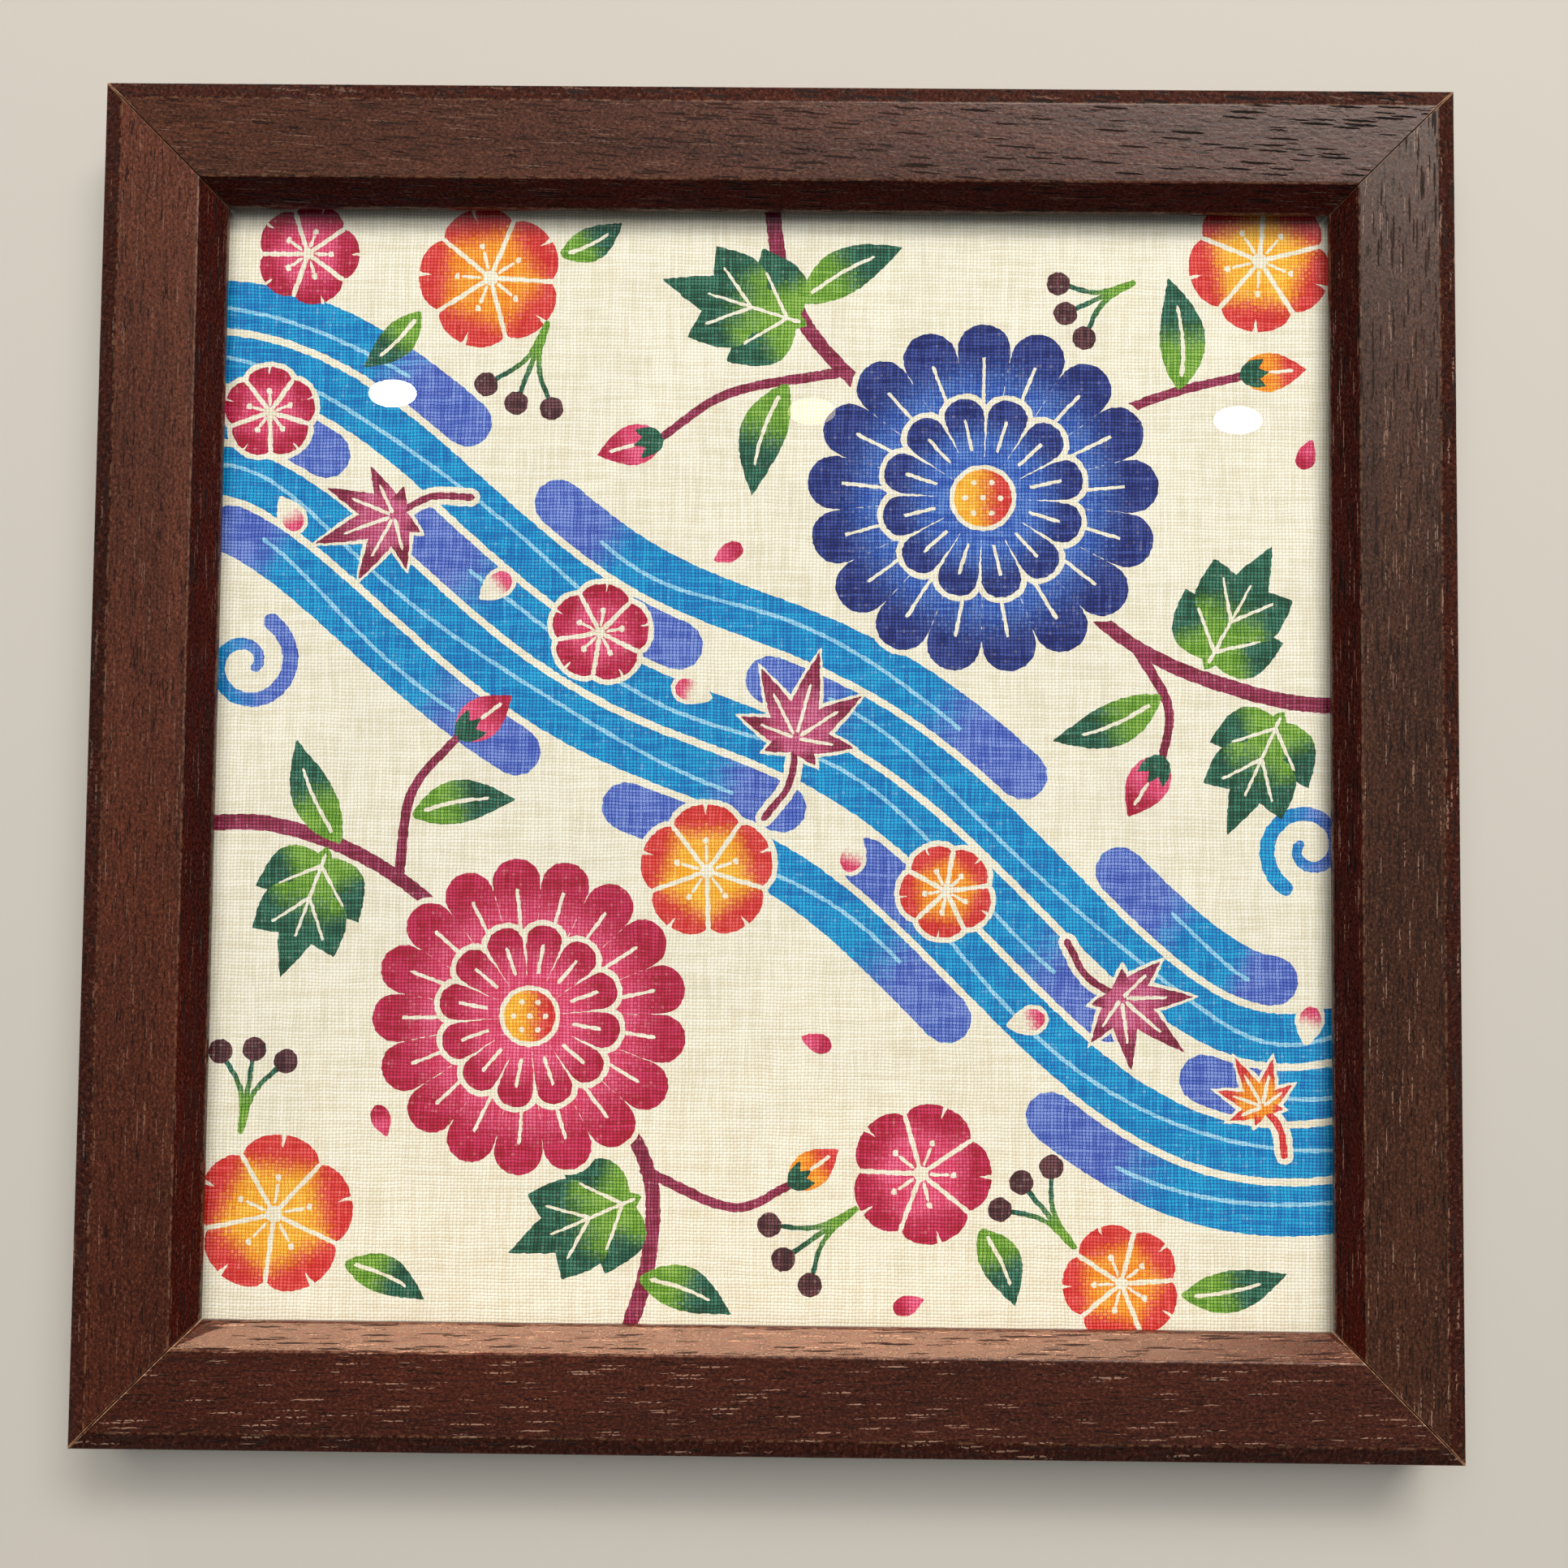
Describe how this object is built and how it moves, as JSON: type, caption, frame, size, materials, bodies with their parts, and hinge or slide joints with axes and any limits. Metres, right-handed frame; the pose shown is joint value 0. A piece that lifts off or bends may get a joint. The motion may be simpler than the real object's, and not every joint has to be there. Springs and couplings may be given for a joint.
{
  "type": "stencil-dyed textile in a wooden picture frame",
  "caption": "Square piece of plain-weave cloth dyed with flowers and flowing water, under clear glazing in a mitred, dark-stained wooden picture frame.",
  "frame": {"origin": "middle of the frame's back, on the surface that the frame lies on", "axes": "+Z out of the picture's face, +Y towards the picture's top edge, +X towards its right edge"},
  "size_m": [0.231, 0.231, 0.018],
  "materials": {
    "stained_wood": "dark walnut stain, satin, open pores",
    "clear_glazing": "clear, glossy",
    "dyed_cotton": "matt plain weave with slubs, dyed in many colours on an ivory ground",
    "hardboard": "plain pressed board"
  },
  "bodies": {
    "root": {"rail_bottom": "stained_wood", "rail_right": "stained_wood", "rail_top": "stained_wood", "rail_left": "stained_wood", "glazing": "clear_glazing", "textile": "dyed_cotton", "backing": "hardboard"}
  },
  "joints": []
}
